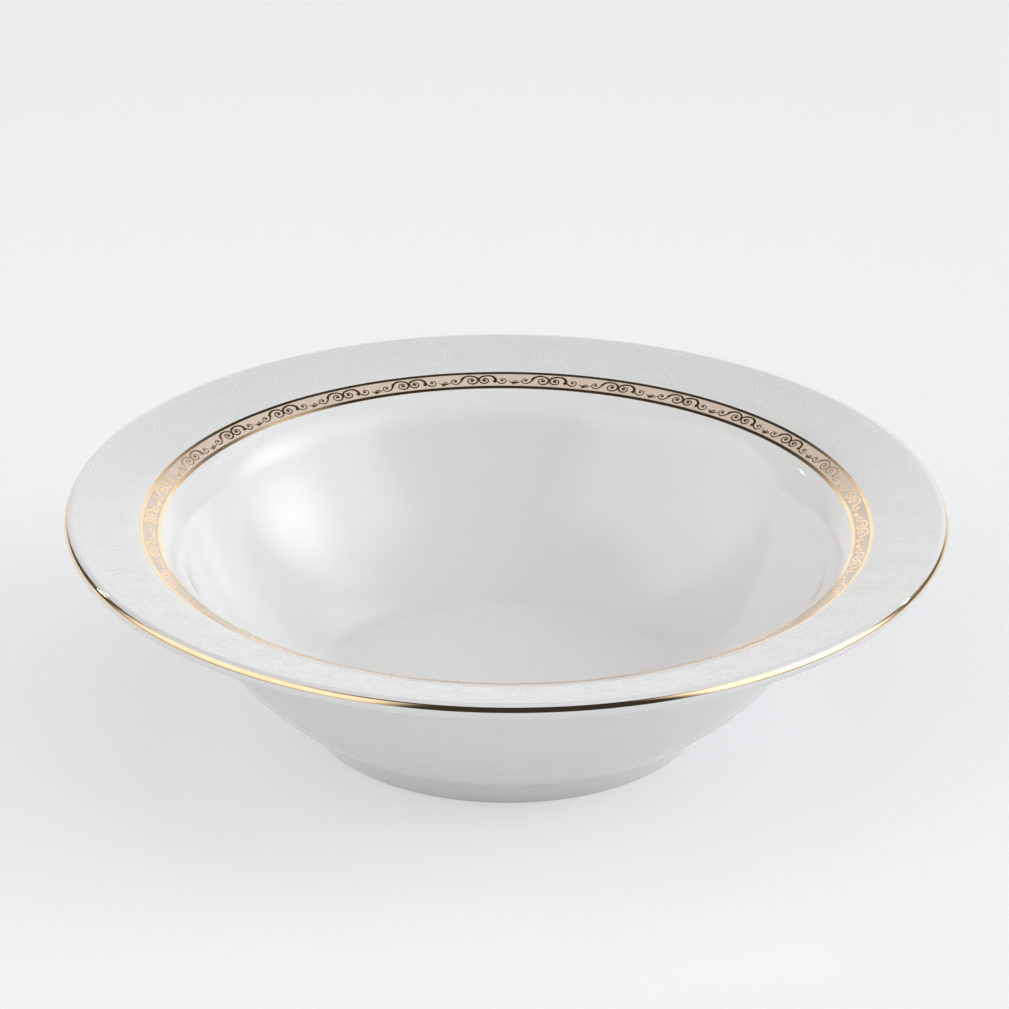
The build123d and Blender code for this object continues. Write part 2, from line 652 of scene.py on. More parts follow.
class Finish:
    """A material made of the shared firing group and one shader."""

    def __init__(self, name: str, group: FiringGroup, firing: Firing, metallic: float = 0.0) -> None:
        """Build the material.

        Args:
            name: The material's name.
            group: The shared group.
            firing: How the finish looks.
            metallic: 1 for a metal.
        """
        self.material = bpy.data.materials.new(name)
        self.material.use_nodes = True
        self.shader = self.material.node_tree.nodes["Principled BSDF"]
        self.shader.inputs["Metallic"].default_value = metallic
        self.nodes = Nodes(self.material.node_tree)
        self.where = self.nodes.add("ShaderNodeTexCoord").outputs["Object"]
        self.fired = firing.place(self.nodes, group, self.shader, self.where)
        self.nodes.link(self.fired.outputs["Colour"], self.shader.inputs["Base Color"])
        self.nodes.link(self.fired.outputs["Roughness"], self.shader.inputs["Roughness"])


@dataclass(frozen=True)
class Glaze:
    """Clear glaze over white porcelain, a pearl-grey rim under the relief and a bare seat under the foot."""

    meridian: Meridian
    rim_from: float = 103.75 * MM
    rim_tone: Colour = (0.957, 0.959, 0.963)
    bare_below: float = 0.25 * MM
    bare_colour: Colour = (0.80, 0.775, 0.74)
    bare_roughness: float = 0.8
    tone_fade: float = 0.5 * MM
    bare_fade: float = 0.15 * MM
    firing: Firing = Firing(
        colour=(0.866, 0.862, 0.857),
        cloud_colour=(0.852, 0.848, 0.844),
        speck_colour=(0.72, 0.70, 0.67),
        cloud_size=0.045,
        speck_size=0.9 * MM,
        speck_amount=0.08,
        ripple_size=9.0 * MM,
        ripple_depth=0.006 * MM,
        roughness=0.07,
        roughness_spread=0.03,
    )

    def material(self, group: FiringGroup) -> Material:
        """Build the material.

        Args:
            group: The shared firing group.

        Returns:
            The material.
        """
        finish = Finish("glazed porcelain", group, self.firing)
        n = finish.nodes
        x, y, z = n.split(finish.where)
        square = n.math("ADD", n.math("POWER", x, 2.0), n.math("POWER", y, 2.0))
        radius = n.math("POWER", square, 0.5)
        beyond = n.ramp(radius, self.rim_from, self.rim_from + self.tone_fade)
        rim = n.math("MULTIPLY", beyond, self.inside(n, radius, z))
        toned = n.blend(rim, finish.fired.outputs["Colour"], self.rim_tone, "MULTIPLY")
        bare = n.ramp(z, self.bare_below + self.bare_fade, self.bare_below)
        n.link(n.blend(bare, toned, self.bare_colour), finish.shader.inputs["Base Color"])
        rough = {"Factor": bare, "A": finish.fired.outputs["Roughness"], "B": self.bare_roughness}
        n.link(n.flow("ShaderNodeMix", rough, data_type="FLOAT"), finish.shader.inputs["Roughness"])
        return finish.material

    def inside(self, n: Nodes, radius: Socket, height: Socket) -> Socket:
        """Tell the rim's upper face from its underside.

        Args:
            n: The material's calls.
            radius: The distance from the bowl's axis.
            height: The height.

        Returns:
            The mask, 1 on the upper face and 0 on the underside.
        """
        start, end = self.meridian.at_radius(self.rim_from), self.meridian.stations()[-1]
        slope = (end.height - start.height) / (end.radius - start.radius)
        level = start.height - slope * start.radius - self.meridian.wall / 2
        middle = n.math("ADD", n.math("MULTIPLY", radius, slope), level)
        return n.ramp(n.math("SUBTRACT", height, middle), 0.0, self.tone_fade)


@dataclass(frozen=True)
class Gold:
    """Bright gold fired on the glaze."""

    firing: Firing = Firing(
        colour=(0.97, 0.72, 0.46),
        cloud_colour=(0.94, 0.68, 0.41),
        speck_colour=(0.55, 0.34, 0.17),
        cloud_size=6.0 * MM,
        speck_size=0.35 * MM,
        speck_amount=0.5,
        ripple_size=1.6 * MM,
        ripple_depth=0.004 * MM,
        roughness=0.09,
        roughness_spread=0.06,
    )

    def material(self, group: FiringGroup) -> Material:
        """Build the material."""
        return Finish("bright gold", group, self.firing, metallic=1.0).material


@dataclass(frozen=True)
class Blush:
    """Blush beige enamel of the border's ground."""

    firing: Firing = Firing(
        colour=(0.77, 0.64, 0.535),
        cloud_colour=(0.73, 0.60, 0.5),
        speck_colour=(0.56, 0.44, 0.36),
        cloud_size=4.0 * MM,
        speck_size=0.25 * MM,
        speck_amount=0.6,
        ripple_size=0.7 * MM,
        ripple_depth=0.004 * MM,
        roughness=0.24,
        roughness_spread=0.12,
    )

    def material(self, group: FiringGroup) -> Material:
        """Build the material."""
        return Finish("blush enamel", group, self.firing).material


@dataclass(frozen=True)
class ReliefWhite:
    """White enamel of the raised relief on the rim."""

    firing: Firing = Firing(
        colour=(0.905, 0.905, 0.9),
        cloud_colour=(0.88, 0.88, 0.875),
        speck_colour=(0.80, 0.80, 0.79),
        cloud_size=3.0 * MM,
        speck_size=0.2 * MM,
        speck_amount=0.4,
        ripple_size=0.3 * MM,
        ripple_depth=0.004 * MM,
        roughness=0.38,
        roughness_spread=0.15,
    )

    def material(self, group: FiringGroup) -> Material:
        """Build the material."""
        return Finish("white relief enamel", group, self.firing).material


# ---- Ornament: strokes drawn flat, then laid round the bowl ----------------------------------------------
@dataclass(frozen=True)
class Stroke:
    """One tapered stroke, in millimetres: x runs round the bowl and y outward on its surface."""

    through: tuple[Point2, ...]
    widths: tuple[float, ...]
    step: float = 0.3

    def points(self) -> list[Point2]:
        """Draw the smooth line through the stroke's own points.

        Returns:
            Points that lie evenly along it.
        """
        knots = [Vector(p) for p in self.through]
        if len(knots) == 2:
            return [tuple(knots[0]), tuple(knots[1])]
        knots = [2 * knots[0] - knots[1], *knots, 2 * knots[-1] - knots[-2]]
        line = []
        for before, start, end, after in zip(knots, knots[1:], knots[2:], knots[3:]):
            count = max(1, round((end - start).length / self.step))
            for i in range(count):
                line.append(self.between(before, start, end, after, i / count))
        return [*line, tuple(knots[-2])]

    @staticmethod
    def between(before: Vector, start: Vector, end: Vector, after: Vector, share: float) -> Point2:
        """Find a point of the smooth line between two knots.

        Args:
            before: The knot before the first of the two.
            start: The first knot.
            end: The second knot.
            after: The knot after it.
            share: How far along the line between the two the point is.

        Returns:
            The point.
        """
        near = start * 2 + (end - before) * share
        bend = (before * 2 - start * 5 + end * 4 - after) * share**2
        close = (start * 3 - before - end * 3 + after) * share**3
        return tuple((near + bend + close) / 2)

    def width_at(self, share: float) -> float:
        """Find the stroke's width.

        Args:
            share: How far along the stroke.

        Returns:
            The width there.
        """
        place = share * (len(self.widths) - 1)
        low = min(int(place), len(self.widths) - 2)
        return self.widths[low] + (self.widths[low + 1] - self.widths[low]) * (place - low)

    def mirrored(self) -> "Stroke":
        """Return the stroke's mirror image across the unit's own axis."""
        return replace(self, through=tuple((-x, y) for x, y in self.through))

    def bolder(self, times: float) -> "Stroke":
        """Return the stroke this many times as wide."""
        return replace(self, widths=tuple(width * times for width in self.widths))

    def moved(self, across: float) -> "Stroke":
        """Return the stroke moved round the bowl."""
        return replace(self, through=tuple((x + across, y) for x, y in self.through))


@dataclass(frozen=True)
class Volute:
    """A scroll that comes in along a few points and winds into an eye."""

    lead: tuple[Point2, ...]
    eye: Point2
    reach: float
    start: float
    turns: float
    widths: tuple[float, ...]
    core: float = 0.22
    flat: float = 0.86
    tightening: float = 1.25
    step: float = 30.0

    def stroke(self) -> Stroke:
        """Draw the scroll: its lead, then the winding.

        Returns:
            The scroll as one stroke.
        """
        count = round(abs(self.turns) * 360 / self.step)
        winding = []
        for i in range(count + 1):
            share = i / count
            radius = self.core + (self.reach - self.core) * (1 - share) ** self.tightening
            angle = math.radians(self.start + 360 * self.turns * share)
            across, outward = radius * math.cos(angle), radius * math.sin(angle) * self.flat
            winding.append((self.eye[0] + across, self.eye[1] + outward))
        return Stroke((*self.lead, *winding), self.widths)


@dataclass(frozen=True)
class Dot:
    """One raised dot of an ornament, in millimetres."""

    centre: Point2
    width: float


class Sketch:
    """The strokes and dots of one repeat, as edges and loose points with a width at each point."""

    WIDTH = "width"

    def __init__(self, name: str, strokes: Iterable[Stroke], dots: Iterable[Dot]) -> None:
        """Collect the points.

        Args:
            name: The mesh's name.
            strokes: The strokes.
            dots: The dots.
        """
        places: list[Point3] = []
        edges: list[tuple[int, int]] = []
        widths: list[float] = []
        for stroke in strokes:
            line = stroke.points()
            first = len(places)
            places += [(x * MM, y * MM, 0.0) for x, y in line]
            edges += [(first + i, first + i + 1) for i in range(len(line) - 1)]
            widths += [stroke.width_at(i / (len(line) - 1)) * MM for i in range(len(line))]
        for dot in dots:
            places.append((dot.centre[0] * MM, dot.centre[1] * MM, 0.0))
            widths.append(dot.width * MM)
        self.mesh = bpy.data.meshes.new(name)
        self.mesh.from_pydata(places, edges, [])
        stored = self.mesh.attributes.new(self.WIDTH, "FLOAT", "POINT")
        stored.data.foreach_set("value", widths)


class RoundTheBowl:
    """Geometry Nodes tree that raises a flat sketch, repeats it and lays it round the bowl."""

    NAME = "Laid round the bowl"
    INPUTS = {
        "Sketch": "Geometry",
        "Meridian": "Object",
        "Count": "Int",
        "Turn": "Float",
        "Reference Radius": "Float",
        "Start Length": "Float",
        "Height Share": "Float",
        "Material": "Material",
    }
    # The profile and the dot are drawn for a stroke of this width, then scaled to the real one.
    FULL = 2.0
    TOP = 1.7
    DOT_SIDES = 8

    def __init__(self, meridian: Meridian) -> None:
        """Build the tree.

        Args:
            meridian: The surface that the ornament lies on.
        """
        self.tree = bpy.data.node_groups.new(self.NAME, "GeometryNodeTree")
        self.tree.is_modifier = True
        declare(self.tree, self.INPUTS, {"Ornament": "Geometry"})
        self.line = bpy.data.objects.new("meridian.line", self.section(meridian))
        n = Nodes(self.tree)
        given = n.add("NodeGroupInput").outputs
        raised = self.raised(n, given)
        placed = self.wrapped(n, given, self.repeated(n, given, raised))
        flat = n.flow("GeometryNodeSetShadeSmooth", {"Geometry": placed, "Shade Smooth": False})
        n.dress(flat, given["Material"])

    @staticmethod
    def section(meridian: Meridian) -> bpy.types.Mesh:
        """Draw the surface's line in the XZ plane.

        Args:
            meridian: The surface.

        Returns:
            The line, as a row of edges.
        """
        places = [(s.radius, 0.0, s.height) for s in meridian.stations()]
        mesh = bpy.data.meshes.new("meridian.line")
        mesh.from_pydata(places, [(i, i + 1) for i in range(len(places) - 1)], [])
        return mesh

    def raised(self, n: Nodes, given: bpy.types.bpy_prop_collection) -> Socket:
        """Sweep a low flat-topped profile along the strokes and set a low disc on each dot.

        Args:
            n: The tree's calls.
            given: The tree's inputs.

        Returns:
            The raised sketch of one repeat.
        """
        width = n.flow("GeometryNodeInputNamedAttribute", {"Name": Sketch.WIDTH}, data_type="FLOAT")
        half = n.math("MULTIPLY", width, 0.5)
        curve = n.flow("GeometryNodeMeshToCurve", {"Mesh": given["Sketch"]})
        upright = n.flow("GeometryNodeSetCurveNormal", {"Curve": curve}, mode="Z_UP")
        block = {"Bottom Width": self.FULL, "Top Width": self.TOP, "Height": self.FULL, "Offset": 0.0}
        square = n.flow("GeometryNodeCurvePrimitiveQuadrilateral", block, mode="TRAPEZOID")
        low = n.join(1.0, given["Height Share"], 1.0)
        profile = n.flow("GeometryNodeTransform", {"Geometry": square, "Scale": low})
        sweep = {"Curve": upright, "Profile Curve": profile, "Scale": half, "Fill Caps": True}
        lines = n.flow("GeometryNodeCurveToMesh", sweep)
        neighbours = n.add("GeometryNodeInputMeshVertexNeighbors").outputs["Vertex Count"]
        # A dot's point has no neighbour, and a stroke's point has at least one.
        test = {"A": neighbours, "B": 0.5}
        alone = n.flow("FunctionNodeCompare", test, data_type="FLOAT", operation="LESS_THAN")
        disc = {"Vertices": self.DOT_SIDES, "Radius": self.FULL / 2, "Depth": self.FULL}
        dot = n.flow("GeometryNodeMeshCylinder", disc, fill_type="NGON")
        size = n.join(half, half, n.math("MULTIPLY", half, given["Height Share"]))
        seat = {"Points": given["Sketch"], "Selection": alone, "Instance": dot, "Scale": size}
        seated = n.flow("GeometryNodeInstanceOnPoints", seat)
        dots = n.flow("GeometryNodeRealizeInstances", {"Geometry": seated})
        joined = n.add("GeometryNodeJoinGeometry")
        n.link(lines, joined.inputs[0])
        n.link(dots, joined.inputs[0])
        return joined.outputs[0]

    @staticmethod
    def repeated(n: Nodes, given: bpy.types.bpy_prop_collection, unit: Socket) -> Socket:
        """Set the repeats side by side along X.

        Args:
            n: The tree's calls.
            given: The tree's inputs.
            unit: The raised sketch of one repeat.

        Returns:
            The flat row, as long as the reference circle.
        """
        round_length = n.math("MULTIPLY", given["Reference Radius"], math.tau)
        pitch = n.join(n.math("DIVIDE", round_length, given["Count"]), 0.0, 0.0)
        row = n.flow("GeometryNodeMeshLine", {"Count": given["Count"], "Offset": pitch})
        copies = n.flow("GeometryNodeInstanceOnPoints", {"Points": row, "Instance": unit})
        return n.flow("GeometryNodeRealizeInstances", {"Geometry": copies})

    @staticmethod
    def wrapped(n: Nodes, given: bpy.types.bpy_prop_collection, row: Socket) -> Socket:
        """Lay the row on the bowl: X goes round it, Y along its meridian and Z away from its surface.

        Args:
            n: The tree's calls.
            given: The tree's inputs.
            row: The flat row.

        Returns:
            The row on the bowl, with its faces outward.
        """
        across, outward, over = n.split(n.position())
        angle = n.math("ADD", n.math("DIVIDE", across, given["Reference Radius"]), given["Turn"])
        source = n.add("GeometryNodeObjectInfo")
        n.link(given["Meridian"], source.inputs["Object"])
        curve = n.flow("GeometryNodeMeshToCurve", {"Mesh": source.outputs["Geometry"]})
        sample = n.add("GeometryNodeSampleCurve", mode="LENGTH")
        n.link(curve, sample.inputs["Curves"])
        n.link(n.math("ADD", outward, given["Start Length"]), sample.inputs["Length"])
        under_x, _, under_z = n.split(sample.outputs["Position"])
        along_x, _, along_z = n.split(sample.outputs["Tangent"])
        radius = n.math("SUBTRACT", under_x, n.math("MULTIPLY", along_z, over))
        height = n.math("ADD", under_z, n.math("MULTIPLY", along_x, over))
        place = n.round_axis(radius, angle, height)
        moved = n.flow("GeometryNodeSetPosition", {"Geometry": row, "Position": place})
        return n.flow("GeometryNodeFlipFaces", {"Mesh": moved})

    def lay(self, name: str, sketch: Sketch, values: dict[str, object]) -> Object:
        """Lay a sketch round the bowl.

        Args:
            name: The piece's name.
            sketch: One repeat.
            values: The tree's inputs, by name, without the meridian.

        Returns:
            The finished piece.
        """
        piece = grown(name, sketch.mesh, self.tree, {"Meridian": self.line, **values})
        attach(piece, "root")
        return piece

    def close(self) -> None:
        """Remove the meridian that the tree was reading."""
        bpy.data.objects.remove(self.line)


# ---- The bowl's pieces ------------------------------------------------------------------------------------
@dataclass(frozen=True)
class Body:
    """The porcelain shell on its foot ring."""

    meridian: Meridian
    layer: float = 0.015 * MM
    foot_setout: float = 6.2 * MM
    foot_width: float = 4.6 * MM
    foot_outer_slope: float = math.radians(52.0)
    foot_inner_slope: float = math.radians(64.0)
    toe_round: float = 0.6 * MM
    root_round: float = 1.5 * MM
    recess_round: float = 1.0 * MM
    segments: int = 300
    recess_middle: float = 0.6

    @property
    def foot_radius(self) -> float:
        """Radius of the foot at the table."""
        return self.meridian.floor_radius + self.foot_setout

    def outer_flank(self, height: float) -> Point2:
        """Return the foot's outer flank at this height."""
        return (self.foot_radius + height / math.tan(self.foot_outer_slope), height)

    def inner_flank(self, height: float) -> Point2:
        """Return the foot's inner flank at this height."""
        seat = self.foot_radius - self.foot_width
        return (seat - height / math.tan(self.foot_inner_slope), height)

    def section(self) -> list[Point2]:
        """Draw the section.

        Returns:
            Its points, from the floor's centre over the lip to the centre of the foot's recess.
        """
        m = self.meridian
        chain = m.stations()
        points = [s.lifted(-self.layer) for s in chain]
        up = math.pi / 2 + m.rim_slope
        points += m.lip(m.lip_round - self.layer, up, up - math.pi)[1:]
        under = [s.lifted(self.layer - m.wall) for s in reversed(chain)]
        above = [p for p in under if p[0] > self.outer_flank(p[1])[0]]
        points += above[1:-2]
        root = self.root(above[-1], under[len(above)])
        points += rounded(root, above[-2], self.outer_flank(m.foot_recess), self.root_round)
        outer_toe, inner_toe = self.outer_flank(0.0), self.inner_flank(0.0)
        points += rounded(outer_toe, root, inner_toe, self.toe_round)
        corner = self.inner_flank(m.foot_recess)
        points += rounded(inner_toe, outer_toe, corner, self.toe_round)
        points += rounded(corner, inner_toe, (0.0, m.foot_recess), self.recess_round)
        points.append((corner[0] * self.recess_middle, m.foot_recess))
        points.append((0.0, m.foot_recess))
        return points

    def root(self, above: Point2, below: Point2) -> Point2:
        """Find where the outside surface meets the foot's outer flank.

        Args:
            above: The surface's last point outside the foot.
            below: Its next point, inside the foot.

        Returns:
            The corner between the two.
        """
        gap_above = above[0] - self.outer_flank(above[1])[0]
        gap_below = below[0] - self.outer_flank(below[1])[0]
        share = gap_above / (gap_above - gap_below)
        return tuple(Vector(above).lerp(Vector(below), share))

    def build(self, lathe: Lathe, finish: Material) -> Object:
        """Turn the body and put it in the place of its CAD node.

        Args:
            lathe: The tree that turns it.
            finish: Its finish.

        Returns:
            The piece.
        """
        piece = lathe.turn("porcelain_bowl", self.section(), self.segments, finish)
        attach(piece, "root")
        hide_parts("porcelain_body")
        return piece


@dataclass(frozen=True)
class Ring:
    """One ring laid on the inside surface, between two radii and two heights over the glaze."""

    name: str
    node: str
    slot: Slot
    inner: float
    outer: float
    high: float
    low: float = -0.1 * MM
    segments: int = 360

    def section(self, meridian: Meridian) -> list[Point2]:
        """Draw the ring's section.

        Args:
            meridian: The surface that the ring lies on.

        Returns:
            The closed section.
        """
        stations = meridian.between(self.inner, self.outer)
        top = [s.lifted(self.high) for s in stations]
        bottom = [s.lifted(self.low) for s in reversed(stations)]
        return [*top, *bottom, top[0]]

    def build(self, meridian: Meridian, lathe: Lathe, finish: Material) -> Object:
        """Turn the ring and put it in the place of its CAD node.

        Args:
            meridian: The surface that the ring lies on.
            lathe: The tree that turns it.
            finish: Its finish.

        Returns:
            The piece.
        """
        piece = lathe.turn(self.name, self.section(meridian), self.segments, finish)
        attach(piece, "root")
        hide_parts(self.node)
        return piece


@dataclass(frozen=True)
class Border:
    """The border on the shoulder: a ground between two gold lines."""

    inner: float = 97.8 * MM
    outer: float = 103.75 * MM
    line: float = 0.9 * MM
    line_height: float = 0.03 * MM

    def rings(self) -> tuple[Ring, ...]:
        """Lay out the border.

        Returns:
            The inner line, the outer line and the ground between them.
        """
        start, end = self.inner + self.line, self.outer - self.line
        return (
            Ring("inner_line", "inner_gold_line", Slot.GOLD, self.inner, start, self.line_height),
            Ring("outer_line", "outer_gold_line", Slot.GOLD, end, self.outer, self.line_height),
            Ring("blush_ground", "blush_ground_band", Slot.BLUSH, start, end, 0.0),
        )


@dataclass(frozen=True)
class GoldEdge:
    """The gold on the top and outer side of the rounded lip."""

    meridian: Meridian
    width: float = 0.8 * MM
    drop: float = 1.8 * MM
    depth: float = 0.1 * MM
    segments: int = 720

    def section(self) -> list[Point2]:
        """Draw the edge's section.

        Returns:
            The closed section.
        """
        m = self.meridian
        centre_radius = m.rim_radius - m.lip_round
        centre_height = m.rim_height - m.lip_round
        high = math.acos((m.rim_radius - self.width - centre_radius) / m.lip_round)
        low = math.asin((m.rim_height - self.drop - centre_height) / m.lip_round)
        top = m.lip(m.lip_round, high, low)
        bottom = m.lip(m.lip_round - self.depth, low, high)
        return [*top, *bottom, top[0]]

    def build(self, lathe: Lathe, finish: Material) -> Object:
        """Turn the edge and put it in the place of its CAD node.

        Args:
            lathe: The tree that turns it.
            finish: Its finish.

        Returns:
            The piece.
        """
        piece = lathe.turn("gold_lip", self.section(), self.segments, finish)
        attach(piece, "root")
        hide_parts("gold_edge")
        return piece


@dataclass(frozen=True)
class Ornament:
    """What every ornament has: its repeats, the circle it lies on, its turn and its height for its width."""

    meridian: Meridian
    count: int
    radius: float
    turn: float
    height_share: float

    def values(self, finish: Material) -> dict[str, object]:
        """Give the tree's inputs.

        Args:
            finish: The ornament's finish.

        Returns:
            The inputs, by name.
        """
        return {
            "Count": self.count,
            "Turn": self.turn,
            "Reference Radius": self.radius,
            "Start Length": self.meridian.length_at(self.radius),
            "Height Share": self.height_share,
            "Material": finish,
        }


@dataclass(frozen=True)
class ScrollBorder(Ornament):
    """The gold scrolls on the ground: two C scrolls back to back, two small volutes and a leaf bud."""

    count: int = 30
    radius: float = 100.6 * MM
    turn: float = math.radians(10.9)
    height_share: float = 0.09
    boldness: float = 1.05
    eyes: tuple[float, ...] = (0.85, 0.85, 0.7, 0.7)

    @staticmethod
    def volutes() -> tuple[Volute, ...]:
        """Draw one repeat's scrolls, in millimetres about its own axis.

        Returns:
            The big scroll on the left and on the right, then the small ones.
        """
        big_left = Volute(
            lead=(
                (-4.5, -0.85),
                (-5.05, 0.0),
                (-4.75, 0.95),
                (-3.85, 1.65),
                (-2.75, 1.82),
                (-1.55, 1.62),
                (-0.6, 1.15),
            ),
            eye=(-1.82, 0.0),
            reach=1.72,
            start=18.0,
            turns=-1.55,
            widths=(0.95, 0.72, 0.5, 0.62, 0.5, 0.4, 0.36, 0.34, 0.4),
        )
        big_right = Volute(
            lead=((5.2, 0.15), (4.75, 0.9), (3.9, 1.55), (2.75, 1.85), (1.6, 1.7), (0.65, 1.2)),
            eye=(2.05, 0.0),
            reach=1.92,
            start=162.0,
            turns=1.55,
            widths=(0.8, 0.6, 0.48, 0.6, 0.5, 0.4, 0.36, 0.34, 0.4),
        )
        small_left = Volute(
            lead=((-4.7, 0.45), (-5.1, -0.15)),
            eye=(-7.1, -0.08),
            reach=1.62,
            start=-24.0,
            turns=-1.3,
            widths=(0.5, 0.42, 0.34, 0.3, 0.28, 0.34),
        )
        small_right = Volute(
            lead=((4.75, 0.6), (5.1, 0.0)),
            eye=(7.1, -0.05),
            reach=1.55,
            start=204.0,
            turns=1.3,
            widths=(0.5, 0.42, 0.34, 0.3, 0.28, 0.34),
        )
        return big_left, big_right, small_left, small_right

    def strokes(self) -> list[Stroke]:
        """Draw one repeat.

        Returns:
            The scrolls, then the bud's stem, leaf and tip.
        """
        stem = Stroke(
            ((8.35, -0.45), (9.0, -0.8), (9.7, -0.95), (10.4, -0.95), (11.2, -0.8), (12.1, -0.4)),
            (0.22, 0.28, 0.6, 0.72, 0.3, 0.2),
        )
        leaf = Stroke(((9.3, -0.45), (9.9, -0.25), (10.6, -0.4)), (0.2, 0.42, 0.15))
        tip = Stroke(((10.2, -1.35), (10.8, -1.45), (11.3, -1.25)), (0.15, 0.34, 0.12))
        scrolls = [volute.stroke() for volute in self.volutes()]
        return [stroke.bolder(self.boldness) for stroke in (*scrolls, stem, leaf, tip)]

    def dots(self) -> list[Dot]:
        """Return the eye of each scroll."""
        return [Dot(volute.eye, width) for volute, width in zip(self.volutes(), self.eyes)]

    def build(self, wrap: RoundTheBowl, finish: Material) -> Object:
        """Lay the scrolls on the ground."""
        sketch = Sketch("scroll.sketch", self.strokes(), self.dots())
        return wrap.lay("scroll_border", sketch, self.values(finish))


@dataclass(frozen=True)
class FlowerHead:
    """One pointed chrysanthemum head of the rim's relief, in millimetres."""

    middle: Point2 = (0.0, -1.6)
    half_width: float = 7.8
    outward: float = 8.1
    inward: float = 5.6
    narrowing: float = 0.25
    rows: tuple[tuple[float, int], ...] = (
        (0.2, 7),
        (0.34, 12),
        (0.48, 17),
        (0.62, 22),
        (0.76, 26),
        (0.9, 31),
        (1.0, 34),
    )
    petal: float = 0.055
    petal_widths: Point2 = (0.3, 0.15)
    petal_gap_spread: float = 0.2
    petal_lean: float = 0.09
    petal_place_spread: float = 0.03
    seed_ring: float = 0.11
    seed_count: int = 6
    seed_width: float = 0.5
    middle_width: float = 0.6
    chance_seed: int = 7

    def at(self, share: float, angle: float) -> Point2:
        """Find a point of the head.

        Args:
            share: How far it is from the middle, as a share of the way to the outline.
            angle: Its direction from the middle.

        Returns:
            The point.
        """
        x, y = math.cos(angle), math.sin(angle)
        reach = self.outward if y > 0 else self.inward
        narrowed = 1 - self.narrowing * y * y
        return (
            self.middle[0] + self.half_width * share * x * narrowed,
            self.middle[1] + reach * share * y,
        )

    def strokes(self) -> list[Stroke]:
        """Draw the petals, each a little off its even place.

        Returns:
            The petals, row by row.
        """
        chance = random.Random(self.chance_seed)
        petals = []
        for row, (share, count) in enumerate(self.rows):
            for i in range(count):
                place = i + 0.5 * (row % 2) + chance.uniform(-self.petal_gap_spread, self.petal_gap_spread)
                angle = math.tau * place / count + math.pi / 2
                lean = chance.uniform(-self.petal_lean, self.petal_lean)
                centre = share + chance.uniform(-self.petal_place_spread, self.petal_place_spread)
                ends = (self.at(centre - self.petal, angle), self.at(centre + self.petal, angle + lean))
                petals.append(Stroke(ends, self.petal_widths))
        return petals

    def dots(self) -> list[Dot]:
        """Draw the seeds.

        Returns:
            The one in the middle, then the ring round it.
        """
        angles = (math.tau * i / self.seed_count for i in range(self.seed_count))
        ring = [Dot(self.at(self.seed_ring, angle), self.seed_width) for angle in angles]
        return [Dot(self.middle, self.middle_width), *ring]


def fanned(first: Stroke, start_step: Point2, end_step: Point2, count: int) -> list[Stroke]:
    """Repeat a short stroke, with both its ends moved on each time.

    Args:
        first: The first stroke, of two points.
        start_step: How far its start moves on.
        end_step: How far its end moves on.
        count: How many strokes there are.

    Returns:
        The strokes.
    """
    (x, y), (u, v) = first.through
    (dx, dy), (du, dv) = start_step, end_step
    ends = (((x + dx * i, y + dy * i), (u + du * i, v + dv * i)) for i in range(count))
    return [replace(first, through=pair) for pair in ends]


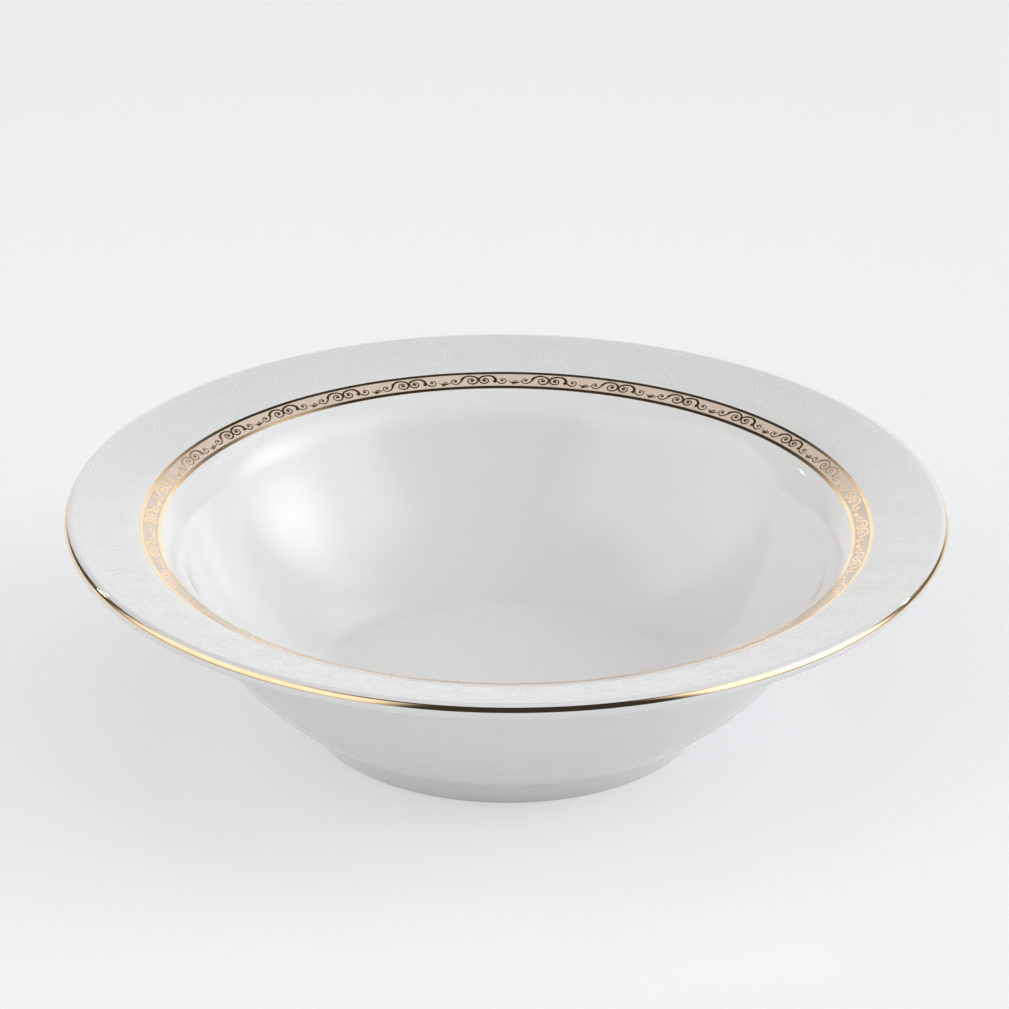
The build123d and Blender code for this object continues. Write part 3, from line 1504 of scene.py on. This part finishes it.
@dataclass(frozen=True)
class RimRelief(Ornament):
    """The white relief on the rim: flower heads in ogee frames, and berries, nets and palmettes between."""

    count: int = 20
    radius: float = 112.0 * MM
    turn: float = math.radians(92.4)
    height_share: float = 0.12
    between: float = 17.6
    line_step: float = 1.0
    berry_rows: tuple[tuple[float, int], ...] = ((1.2, 1), (0.5, 2), (-0.2, 3), (-0.9, 2), (-1.6, 1))
    berry_pitch: float = 0.85
    berry_width: float = 0.62

    def frame(self) -> list[Stroke]:
        """Draw the half of a frame and of its swag that lies on one side of the flower's axis.

        Returns:
            The strokes, in millimetres from that axis.
        """
        step = self.line_step
        return [
            Stroke(
                ((7.8, 6.0), (10.3, 5.0), (13.4, 2.5), (14.4, -0.8), (13.4, -3.6), (11.5, -5.9)),
                (0.12, 0.24, 0.28, 0.16),
                step,
            ),
            Stroke(
                ((9.4, 3.7), (11.9, 1.9), (13.2, -0.8), (12.4, -3.3), (10.9, -4.9)),
                (0.1, 0.18, 0.18, 0.1),
                step,
            ),
            Stroke(
                ((2.9, 9.9), (5.4, 9.8), (8.1, 9.7), (10.0, 8.9), (11.9, 7.6)),
                (0.14, 0.26, 0.2, 0.26, 0.16),
                step,
            ),
            Stroke(((3.6, 8.8), (6.0, 8.7), (8.3, 8.3), (9.8, 7.4)), (0.1, 0.18, 0.1), step),
            Stroke(((0.0, 9.3), (1.0, 8.3), (2.3, 8.1)), (0.24, 0.2, 0.12), 0.6),
            Volute(
                lead=((11.9, 7.6), (12.9, 7.9)),
                eye=(13.0, 9.1),
                reach=1.05,
                start=-60.0,
                turns=1.2,
                widths=(0.22, 0.2, 0.16),
                step=45.0,
            ).stroke(),
            Volute(
                lead=((7.6, 7.5), (6.6, 7.8)),
                eye=(6.0, 7.1),
                reach=0.7,
                start=60.0,
                turns=1.1,
                widths=(0.2, 0.18, 0.14),
                step=60.0,
            ).stroke(),
            Stroke(((3.2, -6.5), (5.6, -5.9), (8.4, -6.3), (10.8, -7.0)), (0.12, 0.2, 0.12), step),
        ]

    def spray(self) -> list[Stroke]:
        """Draw the half of what stands between two frames.

        Returns:
            The strokes, in millimetres from the axis between the frames.
        """
        step = self.line_step
        curl = Volute(
            lead=((0.3, 6.9), (0.5, 8.2)),
            eye=(1.75, 8.9),
            reach=1.25,
            start=200.0,
            turns=-1.25,
            widths=(0.28, 0.24, 0.16),
            step=45.0,
        )
        return [
            curl.stroke(),
            Stroke(((0.9, 6.4), (1.3, 7.4), (2.6, 7.3)), (0.14, 0.2, 0.12), 0.8),
            Stroke(((0.35, -2.1), (1.5, -3.8), (4.1, -6.4)), (0.24, 0.22, 0.14), step),
            Stroke(((0.3, -2.6), (0.7, -4.4), (1.7, -6.7)), (0.2, 0.18, 0.12), step),
            Stroke(((1.3, 0.6), (2.1, 2.2), (3.6, 3.9), (6.0, 5.2)), (0.22, 0.2, 0.14), step),
            *fanned(Stroke(((0.2, 9.2), (0.5, 10.2)), (0.26, 0.14)), (1.0, -0.35), (1.5, -0.2), 3),
            *fanned(Stroke(((0.4, 1.2), (-1.2, 2.8)), (0.16, 0.16)), (0.75, 0.7), (0.75, 0.7), 5),
            *fanned(Stroke(((0.5, -0.9), (0.9, -0.5)), (0.22, 0.12)), (0.5, -1.2), (0.9, -1.2), 4),
        ]

    def berries(self) -> list[Dot]:
        """Draw the cluster of berries between two frames.

        Returns:
            The berries, row by row.
        """
        cluster = []
        for height, count in self.berry_rows:
            places = (self.berry_pitch * (i - (count - 1) / 2) for i in range(count))
            cluster += [Dot((self.between + place, height), self.berry_width) for place in places]
        return cluster

    def scrollwork(self) -> list[Stroke]:
        """Draw one repeat's frames, swags and sprays.

        Returns:
            The strokes, both halves of each.
        """
        half, beside = self.frame(), self.spray()
        strokes = [*half, *(s.mirrored() for s in half)]
        strokes += [s.moved(self.between) for s in (*beside, *(s.mirrored() for s in beside))]
        return strokes

    def build(self, wrap: RoundTheBowl, finish: Material) -> list[Object]:
        """Lay the flower heads and the scrollwork on the rim.

        Args:
            wrap: The tree that lays them.
            finish: Their finish.

        Returns:
            The two pieces.
        """
        flower = FlowerHead()
        sketches = {
            "rim_flowers": Sketch("flower.sketch", flower.strokes(), flower.dots()),
            "rim_scrollwork": Sketch("scrollwork.sketch", self.scrollwork(), self.berries()),
        }
        values = self.values(finish)
        return [wrap.lay(name, sketch, values) for name, sketch in sketches.items()]


# ---- Studio --------------------------------------------------------------------------------------------
def hung(name: str, data: bpy.types.ID, place: Vector, aim: Vector) -> Object:
    """Hang a lamp or a camera and turn it towards a point.

    Args:
        name: Its name.
        data: The lamp's or the camera's own data.
        place: Where it hangs.
        aim: The point that it looks at.

    Returns:
        Its object.
    """
    thing = bpy.data.objects.new(name, data)
    thing.location = place
    thing.rotation_mode = "QUATERNION"
    thing.rotation_quaternion = (aim - place).to_track_quat("-Z", "Y")
    bpy.context.scene.collection.objects.link(thing)
    return thing


@dataclass(frozen=True)
class Floor:
    """The plain pale floor, which looks a little lighter to the eye than the light on it makes it."""

    size: float = 6.0
    colour: Colour = (0.84, 0.845, 0.86)
    shown_colour: Colour = (0.571, 0.575, 0.585)
    lift: float = 0.415
    lift_colour: Colour = (0.985, 0.99, 1.0)
    roughness: float = 0.9

    def material(self) -> Material:
        """Build the material.

        Returns:
            The material.
        """
        material = bpy.data.materials.new("pale floor")
        material.use_nodes = True
        shader = material.node_tree.nodes["Principled BSDF"]
        shader.inputs["Roughness"].default_value = self.roughness
        shader.inputs["Specular IOR Level"].default_value = 0.0
        shader.inputs["Emission Color"].default_value = (*self.lift_colour, 1.0)
        n = Nodes(material.node_tree)
        path = n.add("ShaderNodeLightPath").outputs
        mirrored = n.math("MAXIMUM", path["Is Glossy Ray"], path["Is Transmission Ray"])
        seen = n.math("MAXIMUM", path["Is Camera Ray"], mirrored)
        n.link(n.blend(seen, self.colour, self.shown_colour), shader.inputs["Base Color"])
        n.link(n.math("MULTIPLY", seen, self.lift), shader.inputs["Emission Strength"])
        return material

    def build(self) -> None:
        """Lay the floor."""
        mesh = bpy.data.meshes.new("floor")
        h = self.size / 2
        mesh.from_pydata([(-h, -h, 0), (h, -h, 0), (h, h, 0), (-h, h, 0)], [], [(0, 1, 2, 3)])
        mesh.materials.append(self.material())
        floor = bpy.data.objects.new("floor", mesh)
        bpy.context.scene.collection.objects.link(floor)


@dataclass(frozen=True)
class SoftBox:
    """One soft-edged panel of light in the surroundings, in degrees as seen from the bowl."""

    azimuth: float
    elevation: float
    half_width: float
    half_height: float
    edge: float
    colour: Colour


class SoftBoxGroup:
    """Shader group that gives one panel's light in every direction."""

    NAME = "Soft box"
    SIZES = ("Azimuth", "Elevation", "Half Width", "Half Height", "Edge")

    def __init__(self) -> None:
        """Build the group."""
        self.tree = bpy.data.node_groups.new(self.NAME, "ShaderNodeTree")
        kinds = {"Direction": "Vector", **dict.fromkeys(self.SIZES, "Float"), "Colour": "Vector"}
        declare(self.tree, kinds, {"Light": "Vector"})
        n = Nodes(self.tree)
        given, result = n.add("NodeGroupInput").outputs, n.add("NodeGroupOutput").inputs
        x, y, z = n.split(given["Direction"])
        azimuth = n.math("DEGREES", n.math("ARCTAN2", y, x))
        elevation = n.math("DEGREES", n.math("ARCSINE", z))
        across = n.math("WRAP", n.math("SUBTRACT", azimuth, given["Azimuth"]), 180.0, -180.0)
        along = n.math("SUBTRACT", elevation, given["Elevation"])
        wide = self.window(n, n.math("ABSOLUTE", across), given["Half Width"], given["Edge"])
        high = self.window(n, n.math("ABSOLUTE", along), given["Half Height"], given["Edge"])
        light = n.add("ShaderNodeVectorMath", operation="SCALE")
        n.link(given["Colour"], light.inputs[0])
        n.link(n.math("MULTIPLY", wide, high), light.inputs["Scale"])
        n.link(light.outputs[0], result["Light"])

    @staticmethod
    def window(n: Nodes, away: Socket, half: Socket, edge: Socket) -> Socket:
        """Return 1 inside a half size and 0 outside it, with an edge that fades on both sides of it."""
        return n.ramp(away, n.math("SUBTRACT", half, edge), n.math("ADD", half, edge), 1.0, 0.0)


@dataclass(frozen=True)
class Surroundings:
    """Soft studio light: a pale sweep behind, large boxes at both sides, small ones behind and a dim room."""

    room: Colour = (0.04, 0.04, 0.04)
    boxes: tuple[SoftBox, ...] = (
        SoftBox(90.0, 0.0, 32.0, 32.0, 10.0, (1.1, 1.09, 1.085)),
        SoftBox(-10.0, 28.0, 31.0, 24.0, 8.0, (1.62, 1.64, 1.67)),
        SoftBox(2.0, 24.0, 12.0, 12.0, 11.0, (3.3, 3.33, 3.36)),
        SoftBox(200.0, 28.0, 40.0, 24.0, 8.0, (1.28, 1.255, 1.24)),
        SoftBox(48.0, 24.0, 20.0, 16.0, 8.0, (0.25, 0.25, 0.25)),
        SoftBox(37.0, 48.0, 10.0, 10.0, 7.0, (1.05, 1.05, 1.05)),
        SoftBox(132.0, 24.0, 20.0, 16.0, 8.0, (0.08, 0.08, 0.08)),
    )

    def build(self) -> None:
        """Build the world."""
        world = bpy.data.worlds.new("studio")
        bpy.context.scene.world = world
        world.use_nodes = True
        n = Nodes(world.node_tree)
        where = n.add("ShaderNodeTexCoord")
        group = SoftBoxGroup()
        total: object = self.room
        for box in self.boxes:
            panel = n.add("ShaderNodeGroup", node_tree=group.tree)
            n.link(where.outputs["Generated"], panel.inputs["Direction"])
            values = (box.azimuth, box.elevation, box.half_width, box.half_height, box.edge)
            for name, value in zip(group.SIZES, values):
                panel.inputs[name].default_value = value
            panel.inputs["Colour"].default_value = box.colour
            both = n.add("ShaderNodeVectorMath", operation="ADD")
            n.feed(both.inputs[0], total)
            n.link(panel.outputs["Light"], both.inputs[1])
            total = both.outputs[0]
        n.link(total, world.node_tree.nodes["Background"].inputs["Color"])


@dataclass(frozen=True)
class SmallLamp:
    """One small bright lamp, which leaves a speck on the glaze or on the gold edge."""

    name: str
    place: Point3
    aim: Point3
    cone: float
    radius: float
    power: float

    def build(self) -> None:
        """Hang the lamp."""
        data = bpy.data.lights.new(self.name, "SPOT")
        data.energy = self.power
        data.shadow_soft_size = self.radius
        data.spot_size = self.cone
        data.spot_blend = 0.0
        hung(self.name, data, Vector(self.place), Vector(self.aim))


@dataclass(frozen=True)
class FillLamp:
    """A wide soft lamp that only lightens the shadows: it isn't mirrored in the glaze or the gold."""

    name: str
    azimuth: float
    elevation: float
    power: float
    distance: float = 1.3
    width: float = 1.2

    def build(self) -> None:
        """Hang the lamp, aimed at the bowl."""
        data = bpy.data.lights.new(self.name, "AREA")
        data.energy = self.power
        data.size = self.width
        a, e = math.radians(self.azimuth), math.radians(self.elevation)
        outward = Vector((math.cos(a) * math.cos(e), math.sin(a) * math.cos(e), math.sin(e)))
        lamp = hung(self.name, data, self.distance * outward, Vector())
        lamp.visible_glossy = False


WIDE = math.radians(29.9)
NARROW = math.radians(1.0)


@dataclass(frozen=True)
class Studio:
    """The floor, the surroundings and the lamps."""

    specks: tuple[SmallLamp, ...] = (
        SmallLamp("back lamp right", (0.915, 0.902, 0.954), (-0.138, -0.234, 0.354), WIDE, 0.012, 0.4),
        SmallLamp("back lamp left", (-0.917, 0.950, 0.904), (0.123, -0.227, 0.363), WIDE, 0.012, 0.9),
        SmallLamp("edge lamp left", (-0.3481, 0.106, 0.152), (-0.1114, -0.0554, 0.0644), NARROW, 0.002, 0.2),
        SmallLamp("edge lamp right", (0.341, 0.0998, 0.1728), (0.11, -0.058, 0.0645), NARROW, 0.002, 0.2),
    )
    fills: tuple[FillLamp, ...] = (
        FillLamp("low fill", 270.0, 5.0, 2.9),
        FillLamp("high fill", 270.0, 58.0, 2.1),
        FillLamp("top fill", 90.0, 85.0, 4.4),
    )

    def build(self) -> None:
        """Set the studio up round the bowl."""
        Floor().build()
        Surroundings().build()
        for lamp in (*self.specks, *self.fills):
            lamp.build()


@dataclass(frozen=True)
class View:
    """The camera: where it stands, what it is aimed at and how it is rolled."""

    pivot_height: float = 43.61 * MM
    distance: float = 1.7444
    elevation: float = math.radians(25.683)
    aim: Point3 = (-0.61 * MM, 8.8 * MM, 61.9 * MM)
    roll: float = math.radians(0.383)
    lens: float = 218.78
    sensor_width: float = 36.0
    clip_end: float = 50.0

    def build(self) -> None:
        """Place the camera."""
        data = bpy.data.cameras.new("camera")
        data.lens = self.lens
        data.sensor_width = self.sensor_width
        data.clip_end = self.clip_end
        back = Vector((0.0, -math.cos(self.elevation), math.sin(self.elevation)))
        place = Vector((0.0, 0.0, self.pivot_height)) + back * self.distance
        camera = hung("camera", data, place, Vector(self.aim))
        camera.rotation_quaternion = camera.rotation_quaternion @ Quaternion((0.0, 0.0, 1.0), self.roll)
        bpy.context.scene.camera = camera


def main() -> None:
    """Build the bowl, its ornament, its studio and its view, and report each piece."""
    logging.basicConfig(level=logging.INFO, format="%(name)s: %(message)s")
    bpy.context.scene.view_settings.view_transform = "Standard"
    low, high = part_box("porcelain_body")
    meridian = Meridian(rim_radius=(high.x - low.x) / 2, rim_height=high.z)
    firing = FiringGroup()
    porcelain, gold = Glaze(meridian).material(firing), Gold().material(firing)
    blush, white = Blush().material(firing), ReliefWhite().material(firing)
    lathe = Lathe()
    pieces = [Body(meridian).build(lathe, porcelain), GoldEdge(meridian).build(lathe, gold)]
    finishes = {Slot.GOLD: gold, Slot.BLUSH: blush}
    pieces += [ring.build(meridian, lathe, finishes[ring.slot]) for ring in Border().rings()]
    wrap = RoundTheBowl(meridian)
    pieces.append(ScrollBorder(meridian).build(wrap, gold))
    pieces += RimRelief(meridian).build(wrap, white)
    wrap.close()
    for piece in pieces:
        LOG.info("%s: %d faces", piece.name, len(piece.data.polygons))
    Studio().build()
    View().build()


if __name__ == "__main__":
    main()
